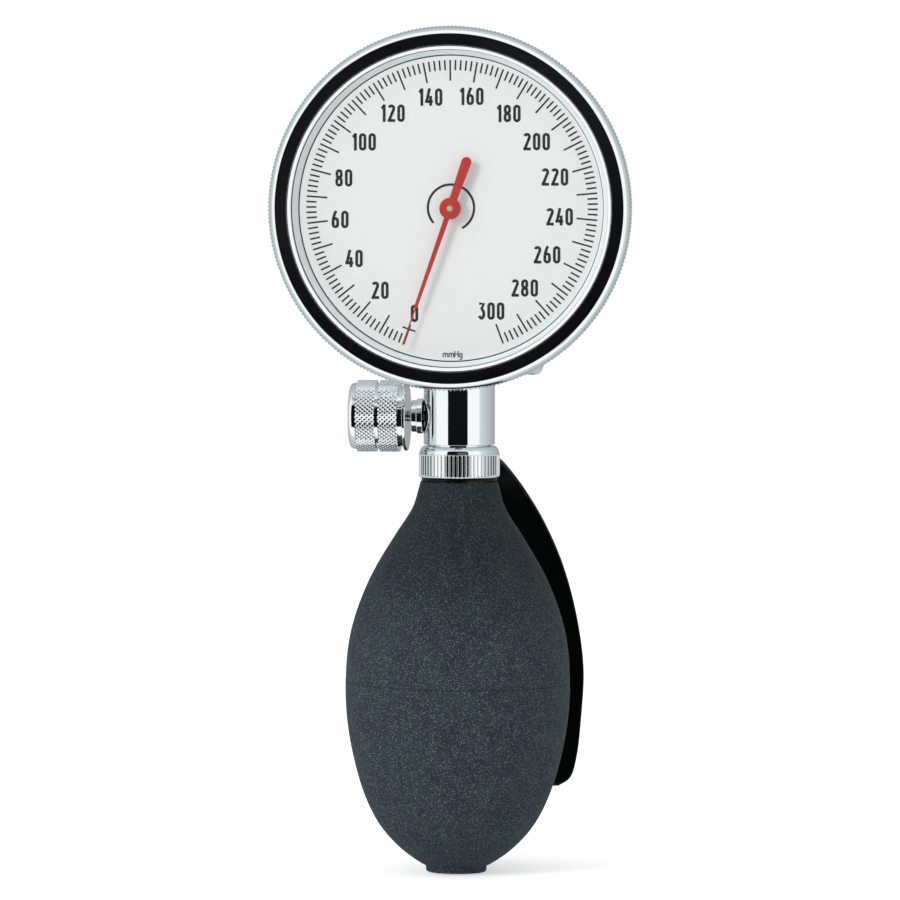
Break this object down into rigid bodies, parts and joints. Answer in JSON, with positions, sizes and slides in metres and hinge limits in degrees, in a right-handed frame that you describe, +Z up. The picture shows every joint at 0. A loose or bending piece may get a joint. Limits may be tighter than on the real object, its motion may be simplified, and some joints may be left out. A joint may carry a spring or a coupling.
{
  "type": "sphygmomanometer",
  "caption": "Palm type aneroid sphygmomanometer: round gauge head on a stem with an air-release knob, rubber bulb and palm spoon.",
  "frame": {"origin": "centre of the bulb at its widest section, on the stem's axis, where the palm holds it", "axes": "+Z up along the stem's axis towards the gauge head, -Y the way the dial faces, +X to the right of the dial"},
  "size_m": [0.072, 0.0574, 0.1699],
  "materials": {
    "chrome": "polished nickel-chrome plate",
    "black_enamel": "glossy black",
    "crystal": "clear, polished",
    "seal_rubber": "matte",
    "pale_ring": "satin",
    "dial_white": "matte white enamel",
    "pointer_red": "satin red paint",
    "brass": "turned",
    "spring_bronze": "rolled, polished",
    "steel": "ground",
    "bulb_rubber": "matte dark grey with fine speckle",
    "spoon_black": "black enamel, satin gloss"
  },
  "bodies": {
    "head": {"case_shell": "chrome", "bezel_ring": "chrome", "bezel_inlay": "black_enamel", "crystal": "crystal", "crystal_gasket": "seal_rubber", "reflector_ring": "pale_ring", "dial_plate": "dial_white", "base_plate": "brass", "capsule": "spring_bronze", "rear_plate": "brass", "front_plate": "brass", "movement_pillar_1": "brass", "movement_pillar_2": "brass", "movement_pillar_3": "brass", "movement_pillar_4": "brass", "movement_screw_1": "steel", "movement_screw_2": "steel", "movement_screw_3": "steel", "movement_screw_4": "steel", "post_screw_1": "steel", "post_screw_2": "steel", "post_screw_3": "steel", "shaft_bracket_upper": "brass", "shaft_bracket_lower": "brass", "hairspring": "spring_bronze", "hairspring_stud": "brass", "stem_body": "chrome", "gauge_lock_nut": "brass", "ring_nut": "chrome", "gland_washer": "seal_rubber", "valve_gland": "chrome", "hose_nipple": "chrome", "nipple_washer": "seal_rubber", "bulb_adapter": "brass", "outlet_stop": "brass", "bulb": "bulb_rubber", "inlet_valve_body": "brass", "inlet_stop": "brass"},
    "pointer_set": {"pointer": "pointer_red", "pinion_arbor": "steel", "spring_collet": "brass"},
    "sector": {"sector_gear": "brass", "sector_arbor": "steel"},
    "rocker": {"rocking_shaft": "steel"},
    "pad": {"capsule_pad": "brass"},
    "spindle": {"valve_spindle": "steel"},
    "knob": {"release_knob": "chrome", "knob_cap": "chrome"},
    "outlet_ball": {"outlet_ball": "steel"},
    "inlet_ball": {"inlet_ball": "steel"},
    "spoon": {"spoon": "spoon_black"}
  },
  "joints": [
    {"name": "sector_swing", "type": "hinge", "parent": "head", "child": "sector", "pos_m": [0.005, 0, 0.08371], "axis": [0, 1, 0], "range_deg": [-40, 0], "stiffness_Nm_per_rad": 0.002, "springref_deg": 9.74},
    {"name": "pointer_turn", "type": "hinge", "parent": "head", "child": "pointer_set", "pos_m": [0, 0, 0.09625], "axis": [0, 1, 0], "range_deg": [0, 320]},
    {"name": "rocker_turn", "type": "hinge", "parent": "head", "child": "rocker", "pos_m": [0.00407, -0.0019, 0.088], "axis": [0, 0, 1], "range_deg": [0, 17.5]},
    {"name": "capsule_lift", "type": "slide", "parent": "head", "child": "pad", "axis": [0, -1, 0], "range_m": [0, 0.0011]},
    {"name": "valve_travel", "type": "slide", "parent": "head", "child": "spindle", "axis": [-1, 0, 0], "range_m": [0, 0.0009]},
    {"name": "release_turn", "type": "hinge", "parent": "spindle", "child": "knob", "pos_m": [0, 0, 0.0542], "axis": [-1, 0, 0], "range_deg": [0, 540]},
    {"name": "outlet_ball_lift", "type": "slide", "parent": "head", "child": "outlet_ball", "axis": [0, 0, 1], "range_m": [0, 0.001]},
    {"name": "inlet_ball_lift", "type": "slide", "parent": "head", "child": "inlet_ball", "axis": [0.0105, 0, 0.9999], "range_m": [0, 0.001]},
    {"name": "spoon_swivel", "type": "hinge", "parent": "head", "child": "spoon", "pos_m": [0, 0, 0.0416], "axis": [0, 0, 1], "range_deg": [-90, 90]}
  ],
  "couplings": [
    {"joint": "pointer_turn", "follows": "sector_swing", "ratio": -8},
    {"joint": "rocker_turn", "follows": "sector_swing", "ratio": -0.4375},
    {"joint": "capsule_lift", "follows": "sector_swing", "m_per_rad": -0.001575},
    {"joint": "release_turn", "follows": "valve_travel", "rad_per_m": 10472}
  ]
}
